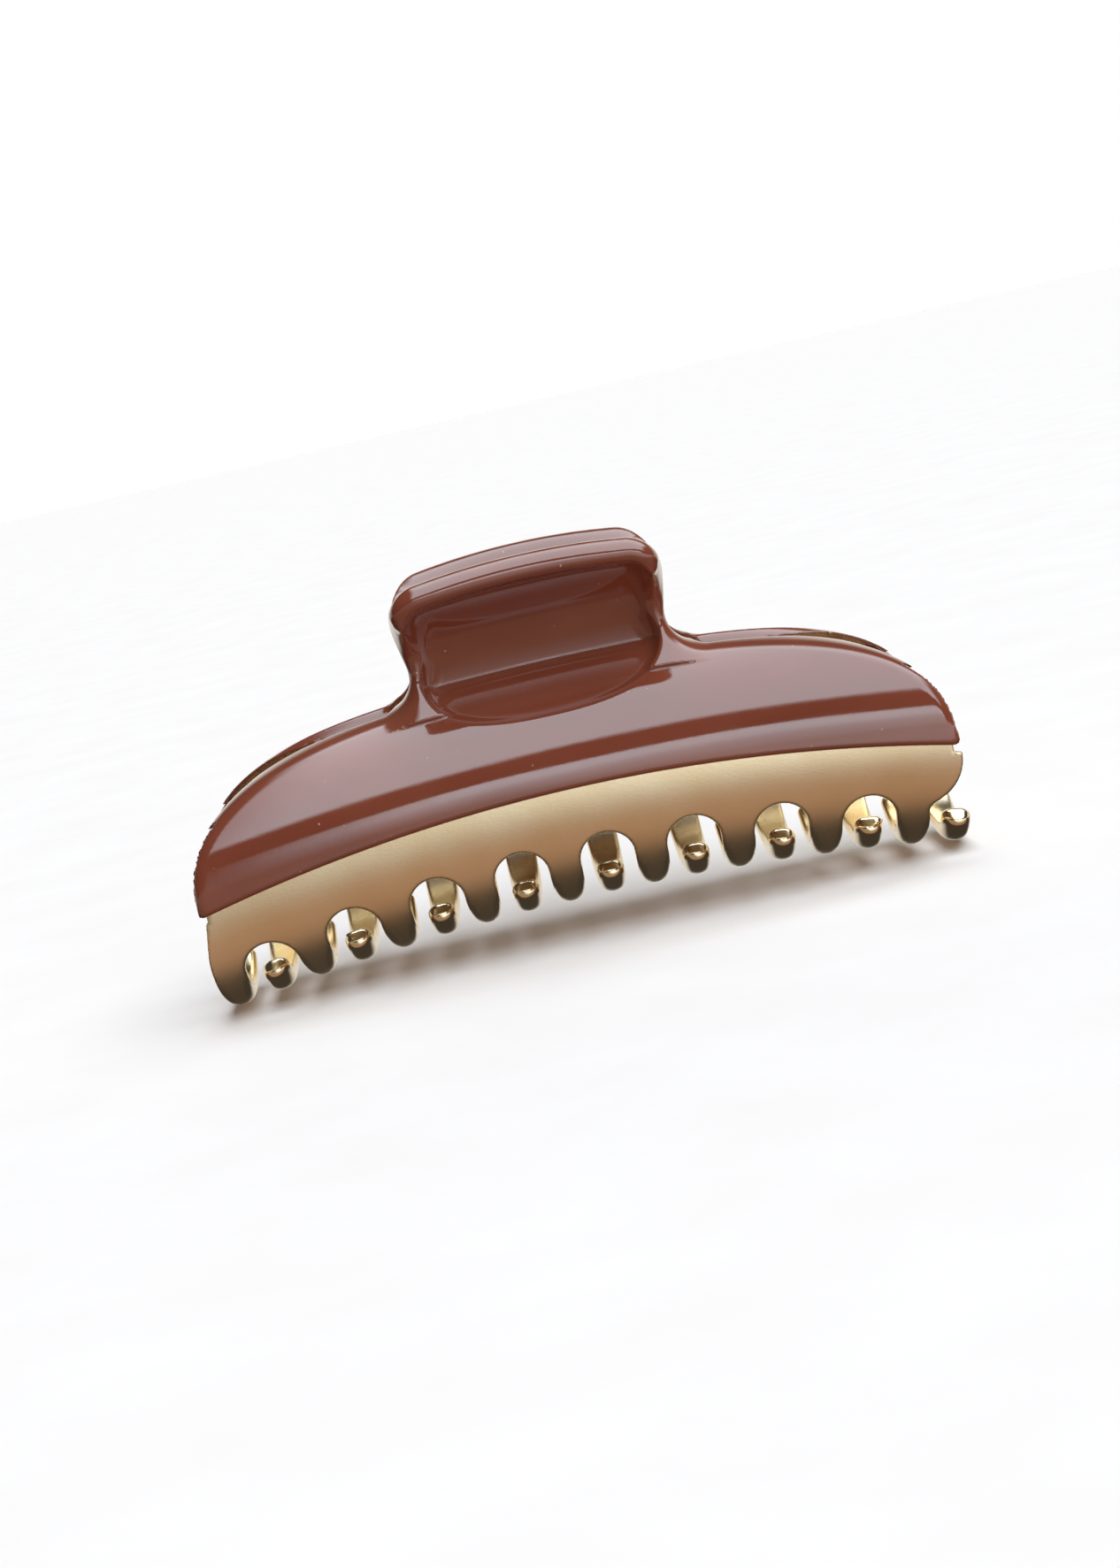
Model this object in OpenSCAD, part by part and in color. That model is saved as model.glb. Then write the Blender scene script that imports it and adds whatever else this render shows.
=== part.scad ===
// Large claw clip: two bowed metal jaws with interleaved teeth, glossy covers with
// dished thumb tabs, and a pin hinge closed by a torsion spring.
// X runs along the clip, Y through it, Z up. The lowest teeth stand at z = 0.

/* [Clip] */
// Overall length over the covers
cover_l = 109.4; // [104:0.2:116]
// Radius of the arched lower edge of the covers and of the row of tooth gaps
bow_r = 238; // [200:1:300]
// Radius of the bow of the barrel and of the row of tooth tips
barrel_bow_r = 364; // [300:1:420]
// Height of the lower edge of the cover at mid length
edge_z = 22.5; // [21:0.1:24]
// Height of the middle of the barrel at mid length
barrel_z = 21.5; // [21:0.1:22]
// Outer radius of the barrel formed by the two covers
barrel_r = 18.35; // [17:0.05:19]

/* [Cover] */
// Thickness of the cover over the metal
cover_t = 1.1; // [0.8:0.05:1.5]
// Height of the shoulders above the lower edge
shoulder_h = 16.5; // [15:0.1:18]
// Half width of the thumb tab
tab_half_w = 19.8; // [18.8:0.1:21]
// Half width of the neck under the thumb tab
neck_half_w = 18.4; // [17.6:0.1:18.8]
// Height of the top of the thumb tabs
tab_top_z = 55.8; // [54:0.1:57]
// Radius of the hollow in the thumb tab
scoop_r = 9.72; // [9:0.02:10.4]
// Wall of the thumb tab behind the hollow
tab_wall = 2.4; // [2:0.1:2.8]
// Radius of the rolled rim along the top of the thumb tab
rim_r = 2.3; // [2:0.05:2.6]

/* [Jaw] */
// Thickness of the metal
metal_t = 1.5; // [1.2:0.1:1.8]
// Number of teeth on each jaw
teeth = 9; // [7:2:11]
// Distance between teeth
pitch = 12.4; // [11.6:0.1:12.8]
// Radius of the arch between two teeth
arch_r = 3.85; // [3.6:0.05:4]
// How far the teeth hook past the bottom of the barrel, in degrees
hook_angle = 40; // [36:1:42]
// Radius of the rounded tips
tip_r = 1.85; // [1.6:0.05:2]

/* [Hinge] */
// Diameter of the hinge pin
pin_d = 2; // [1.8:0.1:2.2]
// Radial clearance of the pin in the ears
pin_clear = 0.05; // [0.02:0.01:0.1]
// Height of the hinge pin
pin_z = 38.95; // [38.8:0.05:39.2]
// Radius of the ears
ear_r = 2.7; // [2.5:0.1:2.9]
// Diameter of the spring wire
wire_d = 1.1; // [1:0.05:1.2]

/* [Hidden] */
$fn = 96;

// Colours
gold = [0.83, 0.72, 0.48];
brown = [0.48, 0.24, 0.17];
steel = [0.72, 0.72, 0.74];

// Bows and barrel
bow_z = edge_z - bow_r;
barrel_bow_z = barrel_z - barrel_bow_r;
sweep_half = 10;
sweep_fn = 720;
bond_gap = 0.05;
metal_r = barrel_r - cover_t - bond_gap;
ridge_angle = 70;
edge_angle = -8;
metal_angle = 35;
body_angle = 36.5;
body_r = 15.4;
reach = 30;

// Shoulder outline: a superellipse above the lower edge of the cover
outline_step = 16;
across_power = 4;
up_power = 3;
metal_inset = 1.3;
cover_half_l = cover_l / 2;

// Thumb tab, centred on the hollow
scoop_y = 16.72;
scoop_z = 42.36;
scoop_end_r = 98;
scoop_reach = 24;
rim_y = 14.6;
rim_z = tab_top_z - rim_r;
wall_front = 1.7;
wall_foot = 15;
wall_foot_y = 9;
tab_corner_r = 4.5;
neck_z = 42;
neck_fillet_r = 4;

// Jaw ends
metal_left_top = 53.6;
metal_left_low = 54.9;
metal_right = 54.5;
end_corner_r = 7;
end_corner_drop = 2.5;

// Teeth
tooth_shift = pitch / 4;
arch_top_drop = 7.2;
slot_front_half = 3.55;
slot_tip_half = 4.6;

// Hinge
ear_w = 2.4;
ear_inner_x = 6;
ear_outer_x = 8.6;
saddle_half_w = 13;
saddle_t = 1.05;
saddle_low = 16;
saddle_high = 33;
head_r = 1.9;
head_t = 0.9;
ear_end_gap = 0.1;
retainer_r = 2.1;
retainer_t = 1;
pin_stub = 0.3;

// Torsion spring
coil_turns = 7;
coil_pitch = 1.24;
coil_mean_r = 2.25;
coil_steps = 16;
wire_sides = 8;
leg_y = 4.45;
leg_z = 46;

// Point at a distance along the clip and a height above the lower edge of the cover
function on_bow(x, rise) = [x, bow_z + sqrt(pow(bow_r + rise, 2) - x * x)];

// Height of the shoulder outline at a share of the half length
function shoulder(share) = pow(1 - pow(share, across_power), 1 / up_power);

// One shoulder, from mid length to the end
function shoulder_points(half_l, height) = [
    for (i = [0:outline_step])
        let (share = sin(90 * i / outline_step))
        on_bow(half_l * share, height * shoulder(share))
];

// The same outline on the other side, without the shared point at mid length
function mirrored(points) = [for (i = [len(points) - 1:-1:1]) [-points[i][0], points[i][1]]];

function tooth_x(i) = pitch * (i - (teeth - 1) / 2) - tooth_shift;

// Sweep a section around the bow; the section has depth on X and height on Y
module sweep() {
    translate([0, 0, barrel_bow_z])
        rotate([90, 0, 0])
            rotate([0, 0, 90 - sweep_half])
                rotate_extrude(angle = 2 * sweep_half, $fn = sweep_fn)
                    translate([barrel_bow_r, 0])
                        rotate(90)
                            mirror([0, 1])
                                children();
}

// Extrude an elevation outline through the whole clip
module through() {
    rotate([90, 0, 0])
        linear_extrude(2 * reach, center = true)
            children();
}

// Part of a ring between two angles
module ring_sector(inner, outer, from, to) {
    intersection() {
        difference() {
            circle(outer);
            circle(inner);
        }
        polygon(concat([[0, 0]], [
            for (i = [0:6])
                let (a = from + (to - from) * i / 6)
                2 * outer * [cos(a), sin(a)]
        ]));
    }
}

// Elevation of the two shoulders
module shoulder_outline(half_l, height) {
    right = shoulder_points(half_l, height);
    polygon(concat(mirrored(right), right));
}

// Elevation of the thumb tab with its neck
module tab_outline() {
    corner_x = tab_half_w - tab_corner_r;
    corner_r = tab_top_z - barrel_bow_z - tab_corner_r;
    corner_z = barrel_bow_z + sqrt(pow(corner_r, 2) - corner_x * corner_x);
    for (side = [-1, 1])
        translate([side * corner_x, corner_z])
            circle(tab_corner_r);
    polygon([
        [-neck_half_w, neck_z - 6],
        [neck_half_w, neck_z - 6],
        [neck_half_w, neck_z],
        [tab_half_w, corner_z],
        [-tab_half_w, corner_z],
        [-neck_half_w, neck_z]
    ]);
    intersection() {
        translate([0, barrel_bow_z])
            circle(tab_top_z - barrel_bow_z, $fn = sweep_fn);
        translate([-corner_x, neck_z])
            square([2 * corner_x, reach]);
    }
}

// Rounded inner corners between the neck and the shoulders
module neck_fillets() {
    for (side = [-1, 1])
        mirror([side < 0 ? 1 : 0, 0])
            difference() {
                translate([neck_half_w - 0.5, neck_z - neck_fillet_r - 0.3])
                    square([neck_fillet_r + 0.5, neck_fillet_r + 0.3]);
                translate([neck_half_w + neck_fillet_r, neck_z])
                    circle(neck_fillet_r);
            }
}

// Skirt over the metal with the thick body above it
module body_section() {
    ring_sector(barrel_r - cover_t, barrel_r, edge_angle, body_angle + 0.5);
    ring_sector(body_r, barrel_r, body_angle, ridge_angle);
}

// Wall behind the hollow and the rolled rim above it
module tab_section() {
    difference() {
        intersection() {
            translate([scoop_y, scoop_z - barrel_z])
                circle(scoop_r + tab_wall);
            polygon([
                [0, wall_foot],
                [wall_foot_y, wall_foot],
                [rim_y + wall_front, rim_z - barrel_z],
                [rim_y, rim_z + rim_r / 2 - barrel_z],
                [0, rim_z + rim_r / 2 - barrel_z]
            ]);
        }
        circle(body_r);
    }
    translate([rim_y, rim_z - barrel_z])
        circle(rim_r);
}

// Dished hollow of the thumb tab, shallower towards its ends
module scoop() {
    translate([0, -scoop_y, scoop_z])
        rotate([0, 90, 0])
            rotate_extrude()
                intersection() {
                    translate([scoop_r - scoop_end_r, 0])
                        circle(scoop_end_r, $fn = sweep_fn);
                    translate([0, -scoop_reach])
                        square([scoop_r + 1, 2 * scoop_reach]);
                }
}

module cover() {
    difference() {
        union() {
            intersection() {
                sweep()
                    body_section();
                through()
                    difference() {
                        shoulder_outline(cover_half_l, shoulder_h);
                        translate([0, bow_z])
                            circle(bow_r, $fn = sweep_fn);
                    }
            }
            intersection() {
                sweep()
                    tab_section();
                through() {
                    tab_outline();
                    neck_fillets();
                }
            }
        }
        scoop();
    }
}

// Elevation of the metal: inside the cover above, out to the end teeth below
module jaw_outline() {
    top = on_bow(metal_left_top, 1)[1];
    shoulder_outline(cover_half_l - metal_inset, shoulder_h - metal_inset);
    polygon([
        [-metal_left_top, top],
        [-metal_left_low, on_bow(metal_left_low, -arch_top_drop)[1]],
        [-metal_left_low, -reach],
        [metal_right, -reach],
        [metal_right, top - 1],
        [metal_left_top, top]
    ]);
}

// Elevation of the rounded corner beside the last tooth
module end_corner() {
    x = metal_right - end_corner_r;
    z = on_bow(x, -end_corner_drop)[1];
    side = tooth_x(teeth - 1) + (pitch - 2 * slot_front_half) / 2;
    difference() {
        translate([side, -reach])
            square([reach, z + reach]);
        translate([x, z])
            circle(end_corner_r);
    }
}

// Gap between two teeth: an arch over a slot that widens towards the tips
module tooth_gap(x) {
    z = on_bow(x, -arch_top_drop)[1] - arch_r;
    translate([x, 0, z])
        rotate([90, 0, 0])
            cylinder(r = arch_r, h = 2 * barrel_r + 2, center = true);
    translate([x, 0, -reach])
        linear_extrude(z + reach)
            polygon([
                [-slot_front_half, -barrel_r - 1],
                [slot_front_half, -barrel_r - 1],
                [slot_tip_half, barrel_r],
                [-slot_tip_half, barrel_r]
            ]);
}

module jaw() {
    mid_r = metal_r - metal_t / 2;
    tip_y = mid_r * sin(hook_angle);
    tip_bow_r = barrel_bow_r - mid_r * cos(hook_angle);
    difference() {
        intersection() {
            sweep()
                ring_sector(metal_r - metal_t, metal_r, -90 - hook_angle, metal_angle);
            through()
                difference() {
                    jaw_outline();
                    end_corner();
                }
        }
        for (i = [0:teeth - 2])
            tooth_gap(tooth_x(i) + pitch / 2);
    }
    for (i = [0:teeth - 1])
        let (x = tooth_x(i))
        translate([x, tip_y, barrel_bow_z + sqrt(pow(tip_bow_r, 2) - x * x)])
            rotate([hook_angle - 180, 0, 0])
                rotate(-90)
                    sphere(tip_r);
}

// Ear around the pin with its arm down to the saddle
module ear(x) {
    translate([x, 0, 0])
        rotate([90, 0, 90])
            linear_extrude(ear_w)
                difference() {
                    union() {
                        translate([0, pin_z])
                            circle(ear_r);
                        polygon([
                            [1.2, pin_z - 2.4],
                            [-14.2, barrel_z + 4.8],
                            [-12.8, barrel_z + 8],
                            [-2.4, pin_z - 0.4]
                        ]);
                    }
                    translate([0, pin_z])
                        circle(pin_d / 2 + pin_clear);
                }
}

module hinge_bracket() {
    inner_r = metal_r - metal_t - bond_gap;
    intersection() {
        sweep()
            ring_sector(inner_r - saddle_t, inner_r, saddle_low, saddle_high);
        translate([-saddle_half_w, -reach, 0])
            cube([2 * saddle_half_w, reach, 2 * reach]);
    }
    ear(-ear_outer_x - ear_w);
    ear(ear_inner_x);
}

module hinge_pin() {
    end_x = ear_outer_x + ear_w + ear_end_gap;
    translate([-end_x - head_t, 0, pin_z])
        rotate([0, 90, 0]) {
            cylinder(r = head_r, h = head_t);
            cylinder(d = pin_d, h = head_t + 2 * end_x + retainer_t + pin_stub);
        }
}

module pin_retainer() {
    translate([ear_outer_x + ear_w + ear_end_gap, 0, pin_z])
        rotate([0, 90, 0])
            difference() {
                cylinder(r = retainer_r, h = retainer_t);
                translate([0, 0, -1])
                    cylinder(d = pin_d + 2 * pin_clear, h = retainer_t + 2);
            }
}

// Centre line of the spring: leg up behind the front tab, coil, leg up behind the back tab
function leg_start() =
    let (dy = -leg_y, dz = leg_z - pin_z, far = norm([dy, dz]))
    atan2(dz, dy) + acos(coil_mean_r / far);

function coil_point(i) =
    let (
        from = leg_start(),
        total = 360 * coil_turns + 2 * (270 - from) + 180,
        share = i / (coil_turns * coil_steps),
        a = from + total * share
    )
    [
        coil_pitch * (share - 0.5) * total / 360,
        coil_mean_r * cos(a),
        pin_z + coil_mean_r * sin(a)
    ];

function spring_path() =
    let (
        coil = [for (i = [0:coil_turns * coil_steps]) coil_point(i)],
        first = coil[0],
        last = coil[len(coil) - 1]
    )
    concat([[first[0], -leg_y, leg_z]], coil, [[last[0], leg_y, leg_z]]);

function unit(v) = v / norm(v);

// Ring of points around the wire at one place on its centre line
function wire_ring(path, i) =
    let (
        before = path[max(i - 1, 0)],
        after = path[min(i + 1, len(path) - 1)],
        along = unit(after - before),
        out = unit([1, 0, 0] - along * along[0]),
        up = cross(along, out)
    )
    [
        for (k = [0:wire_sides - 1])
            let (a = 360 * k / wire_sides)
            path[i] + wire_d / 2 * (out * cos(a) + up * sin(a))
    ];

module torsion_spring() {
    path = spring_path();
    rings = len(path);
    points = [for (i = [0:rings - 1]) each wire_ring(path, i)];
    first_cap = [for (k = [wire_sides - 1:-1:0]) k];
    last_cap = [for (k = [0:wire_sides - 1]) (rings - 1) * wire_sides + k];
    sides = [
        for (i = [0:rings - 2], k = [0:wire_sides - 1])
            let (
                a = i * wire_sides + k,
                b = i * wire_sides + (k + 1) % wire_sides
            )
            each [
                [a, b, b + wire_sides],
                [a, b + wire_sides, a + wire_sides]
            ]
    ];
    polyhedron(points = points, faces = concat([first_cap], sides, [last_cap]));
}

module turned() {
    rotate([0, 0, 180])
        children();
}

color(gold) jaw();  // front_jaw
color(gold) turned() jaw();  // back_jaw
color(brown) cover();  // front_cover
color(brown) turned() cover();  // back_cover
color(gold) hinge_bracket();  // front_hinge_bracket
color(gold) turned() hinge_bracket();  // back_hinge_bracket
color(steel) hinge_pin();
color(steel) pin_retainer();
color(steel) torsion_spring();
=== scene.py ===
"""Looks of the claw clip: glossy brown covers over satin gold jaws with polished edges.

Shapes are worked out in millimetres as distance fields over the same barrel and outlines as the
CAD model, turned into meshes, and scaled to metres. Only the front half is shaped: the back half
is the same mesh turned half a turn about Z.
"""
import math

import bmesh
import bpy
import numpy as np
from mathutils import Matrix, Vector


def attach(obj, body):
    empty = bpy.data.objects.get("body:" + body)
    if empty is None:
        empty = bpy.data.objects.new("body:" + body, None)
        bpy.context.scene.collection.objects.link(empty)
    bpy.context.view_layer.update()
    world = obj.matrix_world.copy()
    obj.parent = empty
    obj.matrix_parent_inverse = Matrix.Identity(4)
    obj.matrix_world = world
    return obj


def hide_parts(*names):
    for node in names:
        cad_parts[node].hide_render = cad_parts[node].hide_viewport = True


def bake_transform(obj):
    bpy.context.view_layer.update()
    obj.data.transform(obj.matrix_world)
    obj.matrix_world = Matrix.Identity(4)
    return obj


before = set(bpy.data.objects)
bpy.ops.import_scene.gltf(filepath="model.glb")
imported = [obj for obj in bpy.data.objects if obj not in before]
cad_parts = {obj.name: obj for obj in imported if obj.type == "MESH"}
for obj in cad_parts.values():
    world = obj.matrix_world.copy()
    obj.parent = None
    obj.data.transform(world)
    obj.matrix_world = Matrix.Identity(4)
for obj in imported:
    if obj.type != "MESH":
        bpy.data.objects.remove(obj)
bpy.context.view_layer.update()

MM = 0.001

# Bows and barrel, as in the CAD model
EDGE_BOW_R = 238.0
EDGE_Z = 22.5
EDGE_BOW_Z = EDGE_Z - EDGE_BOW_R
BARREL_BOW_R = 364.0
BARREL_Z = 21.5
BARREL_BOW_Z = BARREL_Z - BARREL_BOW_R
BARREL_R = 18.35
METAL_R = 17.2
METAL_T = 1.5

# Cover
HALF_L = 54.7
SHOULDER_H = 16.5
RIDGE_ANGLE = math.radians(70)
BODY_R = 15.4
SKIRT_R = 17.27
BODY_ANGLE = math.radians(36.5)
NECK_HALF_W = 18.4
NECK_Z = 42.0
NECK_FILLET = 4.0
TAB_HALF_W = 19.8
TAB_CORNER = 4.8
TAB_ARCH_R = 140.0
TAB_TOP_Z = 55.8
SCOOP_D = 16.72
SCOOP_Z = 42.36
SCOOP_R = 9.72
SIDE_RIM_R = 10.6
SIDE_RIM_Z = 39.5
JOINT_ANGLE = math.atan2(SCOOP_Z - BARREL_Z, SCOOP_D)
SIDE_RIM_D = 7.9
SLOPE_ANGLE = math.radians(38)
WALL_D = 6.4
WALL_Z = 38.5
WALL_R = 16.0
CEILING_Z = 52.3
FLOOR_D = 13.87
FLOOR_Z = 32.73
FLOOR_ANGLE = math.radians(46)
HOLLOW_HALF_W = 17.4
HOLLOW_Z = 43.0
HOLLOW_DROP = 9.7
TAB_WALL = 2.4
RIM_R = 2.3
RIM_D = 14.6
RIM_Z = TAB_TOP_Z - RIM_R
RIM_TAPER = 0.9
RIDGE_ROUND = 1.4
OUTLINE_ROUND = 1.9
TAB_OUTLINE_ROUND = 1.0
LOWER_ROUND = 0.8
NECK_TO_BARREL_R = 5.0
RIM_END_ROUND = 2.2
RIM_FILLET = 1.5
HOLLOW_EDGE_ROUND = 0.65

# Jaw
TEETH = 9
PITCH = 12.4
TOOTH_SHIFT = PITCH / 4
ARCH_R = 3.85
ARCH_TOP_DROP = 7.2
HOOK_END = math.radians(-130)
HOOK_T = 2.9
HOOK_CROWN_R = 2.35
METAL_TOP = math.radians(35)

# Hinge and spring
PIN_Z = 38.95
WIRE_R = 0.55
COIL_R = 2.25
COIL_TURNS = 7
COIL_PITCH = 1.24
LEG_Y = 4.45
LEG_Z = 46.0


# ---------------------------------------------------------------- distance fields


def smooth_step(low, high, value):
    """0 below low, 1 above high, with a soft rise between; a fall if low is above high."""
    share = np.clip((value - low) / (high - low), 0, 1)
    return share * share * (3 - 2 * share)


def round_and(a, b, radius):
    """Common part of two fields, with its edge rounded."""
    return np.minimum(-radius, np.maximum(a, b)) + np.hypot(
        np.maximum(a + radius, 0), np.maximum(b + radius, 0)
    )


def round_or(a, b, radius):
    """Union of two fields, with its inner corner filled."""
    return np.maximum(radius, np.minimum(a, b)) - np.hypot(
        np.maximum(radius - a, 0), np.maximum(radius - b, 0)
    )


def barrel_coordinates(x, y, z):
    """Radius from the middle of the barrel, and angle up from the front."""
    height = np.hypot(x, z - BARREL_BOW_Z) - BARREL_BOW_R
    return np.hypot(y, height), np.arctan2(height, -y)


def level(x, z):
    """Height of a point as if the barrel's bow were straight."""
    return np.hypot(x, z - BARREL_BOW_Z) + BARREL_BOW_Z


def shoulder_field(x, z):
    """Elevation of the shoulders: a superellipse over the arched lower edge."""
    across = np.abs(x) / HALF_L
    rise = np.hypot(x, z - EDGE_BOW_Z) - EDGE_BOW_R
    up = np.maximum(rise, 0) / SHOULDER_H
    value = across**4 + up**3 - 1
    steepness = np.hypot(4 * across**3 / HALF_L, 3 * up**2 / SHOULDER_H)
    return value / (steepness + 0.002), rise


def tab_field(x, high):
    """Elevation of the thumb tab: flared sides, arched top and rounded corners."""
    flare = (TAB_HALF_W - NECK_HALF_W) * smooth_step(NECK_Z - 1, TAB_TOP_Z - TAB_CORNER, high)
    side = np.abs(x) - NECK_HALF_W - flare
    top = high - TAB_TOP_Z + x**2 / (2 * TAB_ARCH_R)
    return round_and(side, top, TAB_CORNER)


def hollow_edge(x, high):
    """Elevation of the hollow: straight sides over a rounded bottom."""
    power = 2.4
    half_w = HOLLOW_HALF_W + 0.9 * smooth_step(41, 34, high) + 1.0 * smooth_step(43, 51, high)
    across = np.abs(x) / half_w
    down = np.maximum(HOLLOW_Z - high, 0) / HOLLOW_DROP
    norm = (across**power + down**power) ** (1 / power)
    steepness = np.hypot(across ** (power - 1) / HOLLOW_HALF_W, down ** (power - 1) / HOLLOW_DROP)
    return (norm - 1) / (steepness * np.maximum(norm, 0.2) ** (1 - power) + 0.002)


def hollow_field(x, depth, high):
    """Hollow of the thumb tab: a sloping floor, a wall that leans forward, the underside of the rim."""
    floor = (FLOOR_D - depth) * math.cos(FLOOR_ANGLE) + (FLOOR_Z - high) * math.sin(FLOOR_ANGLE)
    wall = np.hypot(depth - WALL_D - WALL_R, np.maximum(high - WALL_Z, 0)) - WALL_R
    section = round_and(wall, floor, 0.12)
    section = round_and(section, high + x**2 / (2 * TAB_ARCH_R) - CEILING_Z, 0.8)
    corner = 0.6 + 3.6 * smooth_step(36, 44, high)
    return round_and(section, hollow_edge(x, high), corner)


def cover_field(x, y, z):
    """Front cover: barrel shell with its skirt, thumb tab, hollow and rolled rim."""
    r, angle = barrel_coordinates(x, y, z)
    high = level(x, z)
    shoulders, rise = shoulder_field(x, z)
    tab = tab_field(x, high)
    outline = round_or(shoulders, np.maximum(tab, NECK_Z - 8 - high), NECK_FILLET)

    depth = -y
    from_scoop = np.hypot(depth - SCOOP_D, high - SCOOP_Z)
    past_joint = depth * math.sin(JOINT_ANGLE) - (high - BARREL_Z) * math.cos(JOINT_ANGLE)
    top_angle = math.atan2(RIM_Z - SCOOP_Z, RIM_D - SCOOP_D)
    past_rim = (depth - SCOOP_D) * math.sin(top_angle) - (high - SCOOP_Z) * math.cos(top_angle)
    ridge = r * np.sin(angle - RIDGE_ANGLE)
    barrel = round_and(r - BARREL_R, ridge, RIDGE_ROUND)

    ramp_face = depth * math.cos(SLOPE_ANGLE) + (high - BARREL_Z) * math.sin(SLOPE_ANGLE) - BARREL_R
    past_ramp = depth * math.sin(SLOPE_ANGLE) - (high - BARREL_Z) * math.cos(SLOPE_ANGLE)
    air = round_and(SIDE_RIM_D - depth, -ramp_face, NECK_TO_BARREL_R)
    from_side = np.hypot(depth - SIDE_RIM_D - SIDE_RIM_R, high - SIDE_RIM_Z)
    air = round_and(air, from_side - SIDE_RIM_R, 1.5)
    slab = np.maximum(np.maximum(-air, past_ramp), past_rim)
    near_tab = smooth_step(24.0, 17.5, np.abs(x))
    front = barrel + (np.minimum(barrel, slab) - barrel) * near_tab
    tab_share = smooth_step(NECK_Z, NECK_Z + 4, high)
    outline_round = OUTLINE_ROUND + (TAB_OUTLINE_ROUND - OUTLINE_ROUND) * tab_share
    front = round_and(front, outline, outline_round)
    front = round_and(front, -rise, LOWER_ROUND)

    inner = SKIRT_R + (BODY_R - SKIRT_R) * smooth_step(BODY_ANGLE, BODY_ANGLE + 0.04, angle)
    wall = np.maximum(from_scoop - SCOOP_R - TAB_WALL, past_joint)
    back = np.maximum(inner - r, np.minimum(wall, np.maximum(r - BARREL_R, ridge)))
    shell = np.maximum(front, back)

    bead_r = RIM_R - RIM_TAPER * smooth_step(RIM_Z, RIM_Z - 5, high)
    rim = np.hypot(depth - RIM_D, tab + RIM_R) - bead_r
    rim = round_and(rim, SIDE_RIM_R - from_side, RIM_END_ROUND)
    shell = round_or(shell, np.maximum(rim, SCOOP_Z - high), RIM_FILLET)
    shell = np.maximum(shell, np.where(high > SCOOP_Z + 6, tab, -20))
    return round_and(shell, -hollow_field(x, depth, high), HOLLOW_EDGE_ROUND)


def gap_half_width(y):
    """Half the gap between two teeth, wider towards the tips."""
    return ARCH_R + 0.4 * smooth_step(-15, 11, y)


def jaw_parts(x, y, z):
    """Fields that the jaw and its polish share."""
    r, angle = barrel_coordinates(x, y, z)
    depth = METAL_R - r
    number = np.clip(np.round((x + TOOTH_SHIFT) / PITCH), -(TEETH // 2), TEETH // 2)
    from_tooth = x - number * PITCH + TOOTH_SHIFT
    hooked = smooth_step(math.radians(-35), math.radians(-85), angle)
    return r, angle, depth, from_tooth, hooked


def gap_field(x, y, z):
    """Positive inside the gaps between the teeth."""
    middle = (TEETH - 1) / 2
    number = np.clip(np.round((x + TOOTH_SHIFT) / PITCH - 0.5), -middle, middle - 1) + 0.5
    gap_x = number * PITCH - TOOTH_SHIFT
    arch_z = EDGE_BOW_Z + np.sqrt((EDGE_BOW_R - ARCH_TOP_DROP) ** 2 - gap_x**2) - ARCH_R
    off = np.abs(x - gap_x)
    above = z - arch_z
    return np.where(above > 0, ARCH_R - np.hypot(off, above), gap_half_width(y) - off)


def jaw_field(x, y, z):
    """Front jaw: a bowed plate whose teeth thicken into round-backed hooks."""
    r, angle, depth, from_tooth, hooked = jaw_parts(x, y, z)
    off = np.minimum(np.abs(from_tooth), HOOK_CROWN_R - 0.15)
    crown = hooked * (HOOK_CROWN_R - np.sqrt(HOOK_CROWN_R**2 - off**2))
    thick = METAL_T + (HOOK_T - METAL_T) * hooked
    faces = np.maximum(crown - depth, depth - thick)

    rise = np.hypot(x, z - EDGE_BOW_Z) - EDGE_BOW_R
    half = PITCH / 2 - gap_half_width(y)
    tooth = np.abs(x - ((TEETH - 1) / 2 * PITCH - TOOTH_SHIFT)) - half
    corner_x, corner_r, corner_drop = 54.5, 7.0, 2.5
    corner_z = EDGE_BOW_Z + math.sqrt((EDGE_BOW_R - corner_drop) ** 2 - 47.5**2)
    plate = round_and(x - corner_x, corner_z - corner_r - z, corner_r)
    right = round_or(plate, tooth, 1.0)
    right = np.where(x > 40, right, -20)
    left = -x - 53.6 - 1.3 * smooth_step(1.0, -8.0, rise)

    end = (HOOK_END - angle) * (METAL_R - METAL_T)
    sides = np.maximum(gap_field(x, y, z), np.maximum(left, right))
    plan = round_and(sides, end, 1.6)
    plan = np.maximum(plan, np.where(rise > -1, shoulder_field(x, z)[0] + 1.3, -20))
    plan = np.maximum(plan, r * np.sin(np.maximum(angle - METAL_TOP, -1.5)))
    return round_and(plan, faces, 0.34 + 0.63 * hooked)


# ---------------------------------------------------------------- field to mesh


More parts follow.
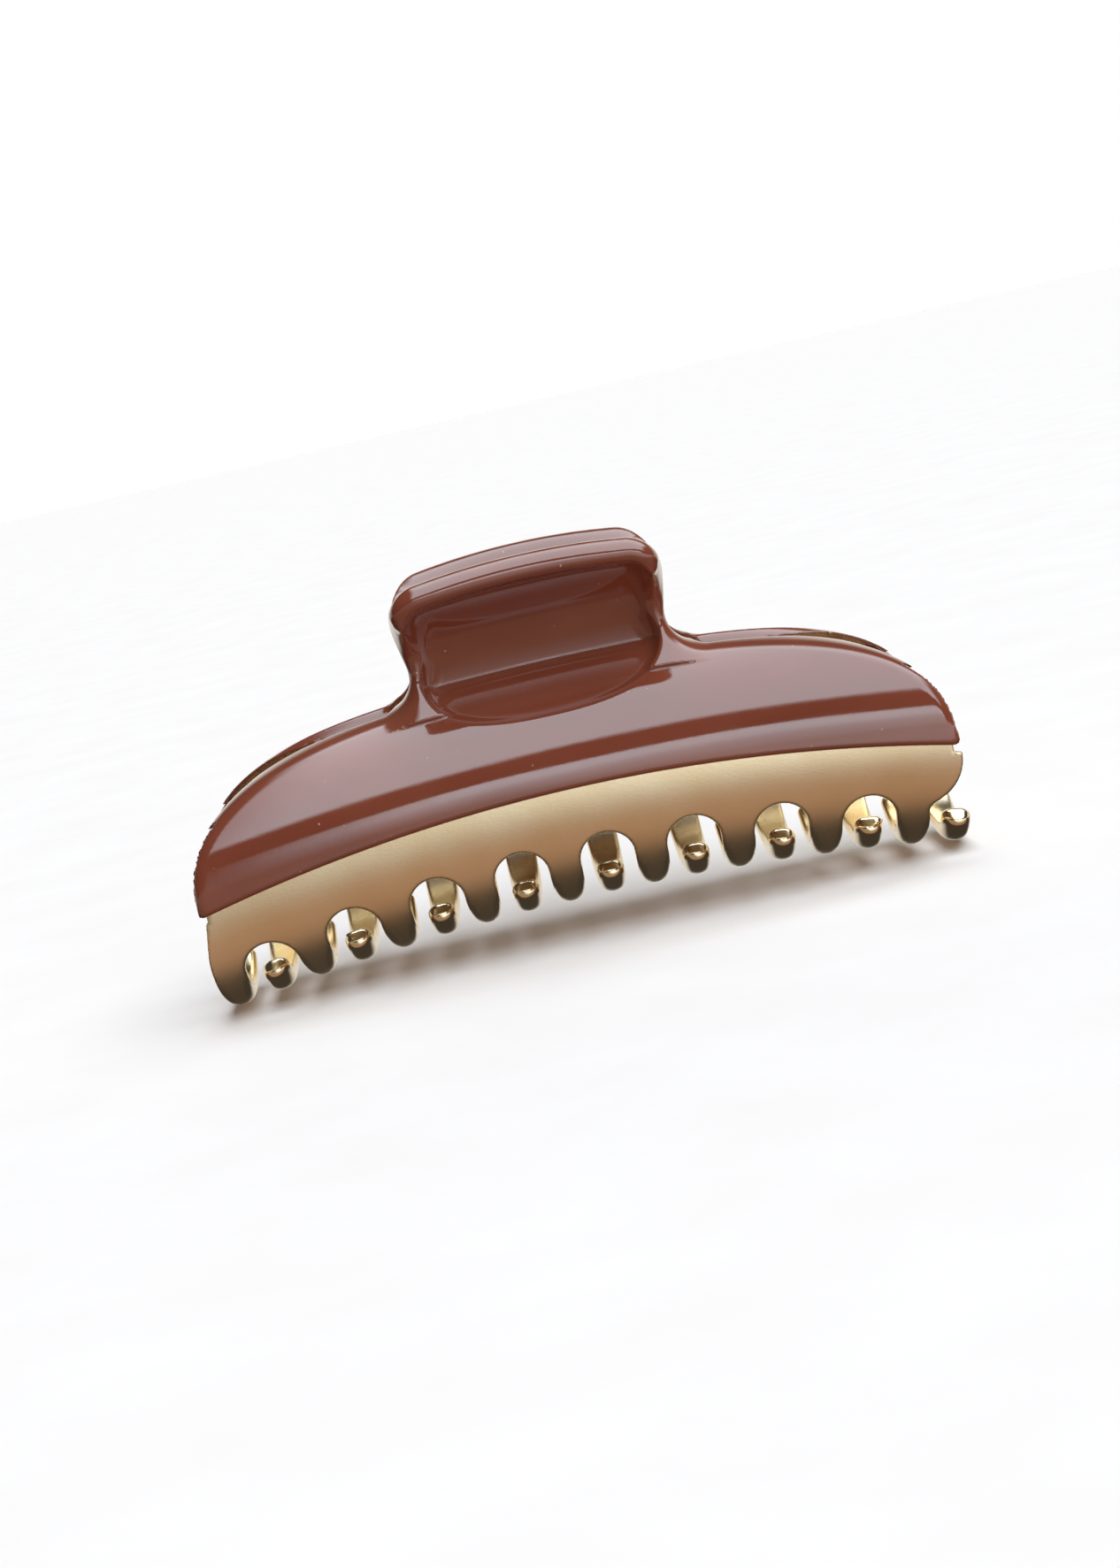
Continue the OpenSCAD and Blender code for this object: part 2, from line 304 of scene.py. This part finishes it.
def surface(field, low, high, step):
    """Mesh of a field's zero surface: one point in each crossed cell, moved onto the surface."""
    axes = [np.arange(a, b + step, step) for a, b in zip(low, high)]
    grid = np.meshgrid(*axes, indexing="ij", sparse=True)
    value = field(*grid).astype(np.float32)
    inside = value < 0
    corners = [(i, j, k) for i in (0, 1) for j in (0, 1) for k in (0, 1)]
    shape = [n - 1 for n in value.shape]

    def shifted(array, corner):
        return array[tuple(slice(c, c + n) for c, n in zip(corner, shape))]

    count = sum(shifted(inside, c).astype(np.int8) for c in corners)
    cells = np.argwhere((count > 0) & (count < 8))
    at = {c: value[tuple((cells + c).T)] for c in corners}
    total = np.zeros((len(cells), 3))
    hits = np.zeros(len(cells))
    for a in corners:
        for axis in range(3):
            if a[axis]:
                continue
            b = tuple(c + (n == axis) for n, c in enumerate(a))
            crossed = (at[a] < 0) != (at[b] < 0)
            share = at[a] / np.where(crossed, at[a] - at[b], 1)
            point = np.array(a, float) + np.outer(share, np.eye(3)[axis])
            total += point * crossed[:, None]
            hits += crossed
    points = np.array(low) + (cells + total / hits[:, None]) * step
    points = settle(field, points, step)

    index = np.full(shape, -1, np.int32)
    index[tuple(cells.T)] = np.arange(len(cells))
    quads = []
    for axis in range(3):
        one, two = (axis + 1) % 3, (axis + 2) % 3
        ahead = [slice(None)] * 3
        ahead[axis] = slice(1, None)
        here = [slice(None)] * 3
        here[axis] = slice(None, -1)
        crossed = np.argwhere(inside[tuple(here)] != inside[tuple(ahead)])
        keep = np.all([(crossed[:, n] > 0) & (crossed[:, n] < shape[n]) for n in (one, two)], axis=0)
        crossed = crossed[keep]
        ring = []
        for step_one, step_two in ((1, 1), (0, 1), (0, 0), (1, 0)):
            cell = crossed.copy()
            cell[:, one] -= step_one
            cell[:, two] -= step_two
            ring.append(index[tuple(cell.T)])
        ring = np.stack(ring, axis=1)
        outward = inside[tuple(crossed.T)]
        quads.append(np.where(outward[:, None], ring, ring[:, ::-1]))
    return points, np.concatenate(quads)


def slope(field, points, reach=0.01):
    """Gradient of a field at some points."""
    rows = []
    for axis in range(3):
        move = np.zeros(3)
        move[axis] = reach
        rows.append((field(*(points + move).T) - field(*(points - move).T)) / (2 * reach))
    return np.stack(rows, axis=1)


def settle(field, points, step):
    """Move points onto the field's zero surface, by less than a cell."""
    start = points.copy()
    for _ in range(4):
        gradient = slope(field, points)
        size = np.maximum((gradient**2).sum(1), 0.05)
        points = points - (field(*points.T) / size)[:, None] * gradient
        points = start + np.clip(points - start, -step, step)
    return points


def mesh_from(name, points, quads, turned=False):
    """Smooth mesh object in metres, half a turn round if asked."""
    place = points * MM
    if turned:
        place = place * (-1, -1, 1)
    mesh = bpy.data.meshes.new(name)
    mesh.vertices.add(len(place))
    mesh.vertices.foreach_set("co", place.astype(np.float32).ravel())
    mesh.loops.add(quads.size)
    mesh.loops.foreach_set("vertex_index", quads.astype(np.int32).ravel())
    mesh.polygons.add(len(quads))
    mesh.polygons.foreach_set("loop_start", np.arange(0, quads.size, 4, dtype=np.int32))
    mesh.polygons.foreach_set("use_smooth", np.ones(len(quads), bool))
    mesh.update(calc_edges=True)
    mesh.validate()
    piece = bpy.data.objects.new(name, mesh)
    bpy.context.scene.collection.objects.link(piece)
    return piece


def add_values(piece, name, values):
    """Store one number per point for the material to read."""
    layer = piece.data.attributes.new(name, "FLOAT", "POINT")
    layer.data.foreach_set("value", values.astype(np.float32))


# ---------------------------------------------------------------- materials


def new_material(name):
    """Empty node material with its shader and a way to add nodes."""
    material = bpy.data.materials.new(name)
    material.use_nodes = True
    tree = material.node_tree
    return material, tree, tree.nodes["Principled BSDF"]


def noise_value(tree, scale, detail=2.0, stretch=(1, 1, 1)):
    """Noise over the piece's own coordinates, scale in waves a metre."""
    place = tree.nodes.new("ShaderNodeTexCoord")
    mapping = tree.nodes.new("ShaderNodeMapping")
    mapping.inputs["Scale"].default_value = stretch
    noise = tree.nodes.new("ShaderNodeTexNoise")
    noise.inputs["Scale"].default_value = scale
    noise.inputs["Detail"].default_value = detail
    tree.links.new(place.outputs["Object"], mapping.inputs["Vector"])
    tree.links.new(mapping.outputs["Vector"], noise.inputs["Vector"])
    return noise.outputs["Fac"]


def ramp(tree, value, stops):
    """Colours at positions along a value."""
    node = tree.nodes.new("ShaderNodeValToRGB")
    points = node.color_ramp.elements
    while len(points) < len(stops):
        points.new(0.5)
    for point, (position, colour) in zip(points, stops):
        point.position = position
        point.color = (*colour, 1)
    tree.links.new(value, node.inputs["Fac"])
    return node.outputs["Color"]


def bump(tree, height, distance, under=None):
    """Surface relief, distance in millimetres, over any relief made before."""
    node = tree.nodes.new("ShaderNodeBump")
    node.inputs["Strength"].default_value = 1
    node.inputs["Distance"].default_value = distance * MM
    tree.links.new(height, node.inputs["Height"])
    if under is not None:
        tree.links.new(under, node.inputs["Normal"])
    return node.outputs["Normal"]


def brown_gloss():
    """Moulded brown plastic: faint flow clouds, slow waves in the gloss, a few dust specks."""
    material, tree, shader = new_material("brown_gloss")
    cloud = ramp(tree, noise_value(tree, 55, 4, (0.5, 1, 1)), [
        (0.30, (0.190, 0.043, 0.022)),
        (0.52, (0.225, 0.053, 0.027)),
        (0.74, (0.285, 0.078, 0.040)),
    ])
    speck = ramp(tree, noise_value(tree, 1500, 0), [(0.86, (0, 0, 0)), (0.90, (1, 1, 1))])
    colour = tree.nodes.new("ShaderNodeMix")
    colour.data_type = "RGBA"
    colour.inputs["B"].default_value = (0.55, 0.30, 0.20, 1)
    tree.links.new(speck, colour.inputs["Factor"])
    tree.links.new(cloud, colour.inputs["A"])
    tree.links.new(colour.outputs["Result"], shader.inputs["Base Color"])
    rough = tree.nodes.new("ShaderNodeMapRange")
    rough.inputs["From Min"].default_value = 0.3
    rough.inputs["From Max"].default_value = 0.7
    rough.inputs["To Min"].default_value = 0.05
    rough.inputs["To Max"].default_value = 0.12
    tree.links.new(noise_value(tree, 260, 4), rough.inputs["Value"])
    tree.links.new(rough.outputs["Result"], shader.inputs["Roughness"])
    waves = bump(tree, noise_value(tree, 70, 1, (0.45, 1, 1)), 0.14)
    skin = bump(tree, noise_value(tree, 900, 2), 0.0025, waves)
    tree.links.new(skin, shader.inputs["Normal"])
    tree.links.new(skin, shader.inputs["Coat Normal"])
    shader.inputs["Coat Weight"].default_value = 1
    shader.inputs["Coat Roughness"].default_value = 0.02
    return material


def satin_gold():
    """Gold plating: fine satin grain on the plate, polished on the edges and hooks."""
    material, tree, shader = new_material("satin_gold")
    polish = tree.nodes.new("ShaderNodeAttribute")
    polish.attribute_name = "polish"
    grain = noise_value(tree, 5200, 2, (0.35, 1, 1))
    satin = tree.nodes.new("ShaderNodeMapRange")
    satin.inputs["To Min"].default_value = 0.27
    satin.inputs["To Max"].default_value = 0.39
    tree.links.new(grain, satin.inputs["Value"])
    rough = tree.nodes.new("ShaderNodeMapRange")
    rough.inputs["To Max"].default_value = 0.17
    tree.links.new(polish.outputs["Fac"], rough.inputs["Value"])
    tree.links.new(satin.outputs["Result"], rough.inputs["To Min"])
    tree.links.new(rough.outputs["Result"], shader.inputs["Roughness"])
    tone = ramp(tree, noise_value(tree, 120, 3), [
        (0.3, (0.90, 0.72, 0.46)),
        (0.7, (0.95, 0.80, 0.55)),
    ])
    tree.links.new(tone, shader.inputs["Base Color"])
    tree.links.new(bump(tree, grain, 0.011), shader.inputs["Normal"])
    shader.inputs["Metallic"].default_value = 1
    return material


def steel():
    """Drawn spring wire: dull steel with fine marks."""
    material, tree, shader = new_material("steel_wire")
    marks = noise_value(tree, 2600, 3)
    tone = ramp(tree, marks, [(0.3, (0.46, 0.44, 0.41)), (0.7, (0.68, 0.66, 0.62))])
    tree.links.new(tone, shader.inputs["Base Color"])
    rough = tree.nodes.new("ShaderNodeMapRange")
    rough.inputs["To Min"].default_value = 0.18
    rough.inputs["To Max"].default_value = 0.38
    tree.links.new(marks, rough.inputs["Value"])
    tree.links.new(rough.outputs["Result"], shader.inputs["Roughness"])
    tree.links.new(bump(tree, marks, 0.006), shader.inputs["Normal"])
    shader.inputs["Metallic"].default_value = 1
    return material


# ---------------------------------------------------------------- pieces


def make_covers(material, step):
    """Both covers, from one mesh of the front one."""
    low, high = (-56.0, -19.5, 14.0), (56.0, -2.5, 57.0)
    points, quads = surface(cover_field, low, high, step)
    for name, body, turned in (("front_cover", "front_half", False), ("back_cover", "back_half", True)):
        piece = mesh_from(name + "_shell", points, quads, turned)
        piece.data.materials.append(material)
        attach(piece, body)
        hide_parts(name)


def make_jaws(material, step):
    """Both jaws, from one mesh of the front one, with polish stored for the metal to read."""
    low, high = (-56.5, -18.2, -1.2), (56.5, 14.5, 33.0)
    points, quads = surface(jaw_field, low, high, step)
    _, _, depth, _, hooked = jaw_parts(*points.T)
    inside = smooth_step(METAL_T - 0.25, METAL_T - 0.1, depth) * (1 - smooth_step(0.3, 0.8, hooked))
    polish = smooth_step(0.05, 0.2, depth) * (1 - 0.75 * inside)
    polish = np.maximum(polish, smooth_step(0.9, 1.0, hooked))
    for name, body, turned in (("front_jaw", "front_half", False), ("back_jaw", "back_half", True)):
        piece = mesh_from(name + "_plate", points, quads, turned)
        add_values(piece, "polish", polish)
        piece.data.materials.append(material)
        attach(piece, body)
        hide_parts(name)


def make_spring(material):
    """Torsion spring: leg, close coil and leg, as one round wire."""
    far = math.hypot(LEG_Y, LEG_Z - PIN_Z)
    leave = math.atan2(LEG_Z - PIN_Z, -LEG_Y) + math.acos(COIL_R / far)
    total = 2 * math.pi * COIL_TURNS + 2 * (1.5 * math.pi - leave) + math.pi
    steps = 40 * COIL_TURNS
    share = np.linspace(0, 1, steps + 1)
    turn = leave + total * share
    coil = np.stack(
        [
            COIL_PITCH * (share - 0.5) * total / (2 * math.pi),
            COIL_R * np.cos(turn),
            PIN_Z + COIL_R * np.sin(turn),
        ],
        axis=1,
    )
    first = np.array([coil[0, 0], -LEG_Y, LEG_Z])
    last = np.array([coil[-1, 0], LEG_Y, LEG_Z])
    legs = np.linspace(0, 1, 12)[:-1, None]
    leg_in = first + (coil[0] - first) * legs
    leg_out = last + (coil[-1] - last) * legs
    path = np.concatenate([leg_in, coil, leg_out[::-1]])
    along = np.gradient(path, axis=0)
    along /= np.linalg.norm(along, axis=1)[:, None]
    out = np.array([1.0, 0, 0]) - along * along[:, :1]
    out /= np.linalg.norm(out, axis=1)[:, None]
    up = np.cross(along, out)
    sides = 16
    angles = np.arange(sides) * 2 * math.pi / sides
    ring = np.cos(angles)[None, :, None] * out[:, None] + np.sin(angles)[None, :, None] * up[:, None]
    size = np.full(len(path), WIRE_R)
    size[[0, -1]] = WIRE_R * 0.6
    points = (path[:, None] + ring * size[:, None, None]).reshape(-1, 3)
    here = np.arange((len(path) - 1) * sides)
    beside = here // sides * sides + (here + 1) % sides
    quads = np.stack([here, beside, beside + sides, here + sides], axis=1)
    piece = mesh_from("torsion_spring_wire", points, quads)
    fill_ends(piece)
    piece.data.materials.append(material)
    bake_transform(piece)
    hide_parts("torsion_spring")


def fill_ends(piece):
    """Close the open ends of a tube."""
    work = bmesh.new()
    work.from_mesh(piece.data)
    bmesh.ops.holes_fill(work, edges=[e for e in work.edges if e.is_boundary])
    bmesh.ops.recalc_face_normals(work, faces=work.faces)
    work.to_mesh(piece.data)
    work.free()


def dress_nodes(gold, wire):
    """Give the CAD nodes that stay in view their materials."""
    for name, material in (
        ("front_hinge_bracket", gold),
        ("back_hinge_bracket", gold),
        ("hinge_pin", wire),
        ("pin_retainer", wire),
    ):
        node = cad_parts[name]
        node.data.materials.clear()
        node.data.materials.append(material)


# ---------------------------------------------------------------- camera, light and floor


def add_camera():
    """Long lens a little above the clip, rolled so that the clip runs uphill to the right."""
    distance, tilt, roll = 430.0, math.radians(8), math.radians(13)
    target = Vector((-1.2, 0, 21.1))
    forward = Vector((0, math.cos(tilt), -math.sin(tilt)))
    level_up = Vector((0, math.sin(tilt), math.cos(tilt)))
    side = Vector((1, 0, 0))
    right = side * math.cos(roll) - level_up * math.sin(roll)
    up = side * math.sin(roll) + level_up * math.cos(roll)
    data = bpy.data.cameras.new("camera")
    data.sensor_width = 36
    data.lens = 68.16
    camera = bpy.data.objects.new("camera", data)
    camera.matrix_world = Matrix.Translation((target - forward * distance) * MM) @ Matrix(
        (
            (right.x, up.x, -forward.x, 0),
            (right.y, up.y, -forward.y, 0),
            (right.z, up.z, -forward.z, 0),
            (0, 0, 0, 1),
        )
    )
    bpy.context.scene.collection.objects.link(camera)
    bpy.context.scene.camera = camera


class Studio:
    """Builds the surroundings from the direction of a ray, in the plane across the clip.

    Turn is 0 at the front horizon, 90 overhead and -90 straight down; side is the share of the
    direction that points along the clip.
    """

    def __init__(self, tree):
        self.tree = tree
        direction = tree.nodes.new("ShaderNodeTexCoord").outputs["Generated"]
        self.direction = direction
        split = tree.nodes.new("ShaderNodeSeparateXYZ")
        tree.links.new(direction, split.inputs[0])
        self.side = split.outputs["X"]
        self.front = self.math("MULTIPLY", split.outputs["Y"], -1)
        turn = self.math("ARCTAN2", split.outputs["Z"], self.front)
        self.turn = self.math("MULTIPLY", turn, 180 / math.pi)

    def math(self, operation, a, b=None, c=None):
        node = self.tree.nodes.new("ShaderNodeMath")
        node.operation = operation
        for socket, value in zip(node.inputs, (a, b, c)):
            if isinstance(value, (int, float)):
                socket.default_value = value
            elif value is not None:
                self.tree.links.new(value, socket)
        return node.outputs[0]

    def step(self, value, low, high):
        """Soft rise from 0 at low to 1 at high, or a fall if low is above high."""
        node = self.tree.nodes.new("ShaderNodeMapRange")
        node.interpolation_type = "SMOOTHSTEP"
        fall = low > high
        node.inputs["From Min"].default_value = high if fall else low
        node.inputs["From Max"].default_value = low if fall else high
        node.inputs["To Min"].default_value = 1 if fall else 0
        node.inputs["To Max"].default_value = 0 if fall else 1
        self.tree.links.new(value, node.inputs["Value"])
        return node.outputs[0]

    def band(self, value, a, b, c, d):
        """Soft band: rises from a to b and falls from c to d."""
        return self.math("MULTIPLY", self.step(value, a, b), self.step(value, d, c))

    def add(self, colour, strength, light):
        """Add some light of one colour, strength times the mask, to what is there already."""
        scale = self.tree.nodes.new("ShaderNodeVectorMath")
        scale.operation = "SCALE"
        scale.inputs[0].default_value = colour
        self.tree.links.new(self.math("MULTIPLY", strength, light), scale.inputs["Scale"])
        return scale.outputs[0]

    def total(self, parts):
        result = parts[0]
        for part in parts[1:]:
            node = self.tree.nodes.new("ShaderNodeVectorMath")
            node.operation = "ADD"
            self.tree.links.new(result, node.inputs[0])
            self.tree.links.new(part, node.inputs[1])
            result = node.outputs[0]
        return result


def add_world():
    """Plain studio: a wide soft panel overhead, a soft strip in front, a low fill that is stronger on
    the right, dim warm ground and a fill behind. The camera sees plain white in place of them.
    """
    world = bpy.data.worlds.new("studio")
    bpy.context.scene.world = world
    world.use_nodes = True
    tree = world.node_tree
    studio = Studio(tree)
    turn, side = studio.turn, studio.side

    panel_side = studio.band(side, -0.32, -0.16, 0.65, 0.8)
    panel = studio.math("MULTIPLY", studio.band(turn, 36, 40, 112, 128), panel_side)
    strip_side = studio.band(side, -0.21, -0.03, 0.42, 0.6)
    strip = studio.math("MULTIPLY", studio.band(turn, 3, 19, 20.5, 23), strip_side)
    horizon = studio.band(turn, -40, -2, 5, 14)
    right = studio.step(side, -0.16, 0.12)
    ground = studio.band(turn, -95, -60, -40, -15)
    behind = studio.math("MAXIMUM", studio.step(turn, 140, 160), studio.step(turn, -150, -168))
    parts = [
        studio.add((0.78, 0.89, 0.97), panel, 3.3),
        studio.add((0.78, 0.89, 0.97), strip, 3.6),
        studio.add((1.0, 0.92, 0.80), horizon, 0.32),
        studio.add((0.95, 1.0, 1.05), studio.math("MULTIPLY", horizon, right), 0.95),
        studio.add((1.0, 0.60, 0.40), ground, 0.34),
        studio.add((1.0, 0.96, 0.88), behind, 0.75),
        studio.add((0.50, 0.42, 0.36), studio.step(turn, -200, -190), 0.10),
    ]
    light = tree.nodes["Background"]
    path = tree.nodes.new("ShaderNodeLightPath")
    tree.links.new(studio.total(parts), light.inputs["Color"])
    plain = tree.nodes.new("ShaderNodeBackground")
    plain.inputs["Color"].default_value = (1, 1, 1, 1)
    chosen = tree.nodes.new("ShaderNodeMixShader")
    tree.links.new(path.outputs["Is Camera Ray"], chosen.inputs[0])
    tree.links.new(light.outputs[0], chosen.inputs[1])
    tree.links.new(plain.outputs[0], chosen.inputs[2])
    tree.links.new(chosen.outputs[0], tree.nodes["World Output"].inputs[0])
    bpy.context.scene.view_settings.view_transform = "Standard"


def add_floor():
    """Plain pale floor. It takes the shadow, but neither lights the clip nor shows in it."""
    size = 6.0
    mesh = bpy.data.meshes.new("floor")
    corners = [(-size, -size, 0), (size, -size, 0), (size, size, 0), (-size, size, 0)]
    mesh.from_pydata(corners, [], [(0, 1, 2, 3)])
    floor = bpy.data.objects.new("floor", mesh)
    bpy.context.scene.collection.objects.link(floor)
    material, tree, shader = new_material("floor")
    tone = ramp(tree, noise_value(tree, 40, 3), [(0.3, (0.92, 0.82, 0.77)), (0.7, (0.95, 0.85, 0.80))])
    tree.links.new(tone, shader.inputs["Base Color"])
    shader.inputs["Roughness"].default_value = 0.8
    mesh.materials.append(material)
    floor.visible_glossy = False
    floor.visible_diffuse = False
    floor.visible_shadow = False


cell = 0.3
jaw_cell = cell * 1.04
gold, brown, wire = satin_gold(), brown_gloss(), steel()
make_covers(brown, cell)
make_jaws(gold, jaw_cell)
make_spring(wire)
dress_nodes(gold, wire)
add_camera()
add_world()
add_floor()


def corners(box):
    return [list(corner) for corner in box]
